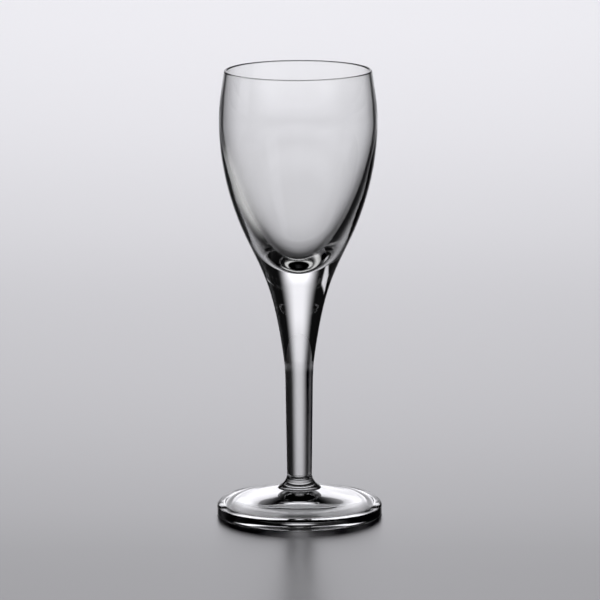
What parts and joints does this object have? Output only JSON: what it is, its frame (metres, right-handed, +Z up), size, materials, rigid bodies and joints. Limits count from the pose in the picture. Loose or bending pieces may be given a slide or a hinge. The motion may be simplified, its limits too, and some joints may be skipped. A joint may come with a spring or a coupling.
{
  "type": "liqueur glass",
  "caption": "Small clear stem glass for liqueur: tulip bowl with a narrowed mouth, solid drawn stem and a round conical foot, fused end to end.",
  "frame": {"origin": "centre of the foot's underside, on the plane that the glass stands on", "axes": "+Z up along the axis of the glass, from the foot to the mouth; the glass is turned, so X and Y are alike"},
  "size_m": [0.05, 0.05, 0.1357],
  "materials": {
    "clear_glass": "clear, fire-polished, smooth"
  },
  "bodies": {
    "root": {"bowl": "clear_glass", "stem": "clear_glass", "foot": "clear_glass"}
  },
  "joints": []
}
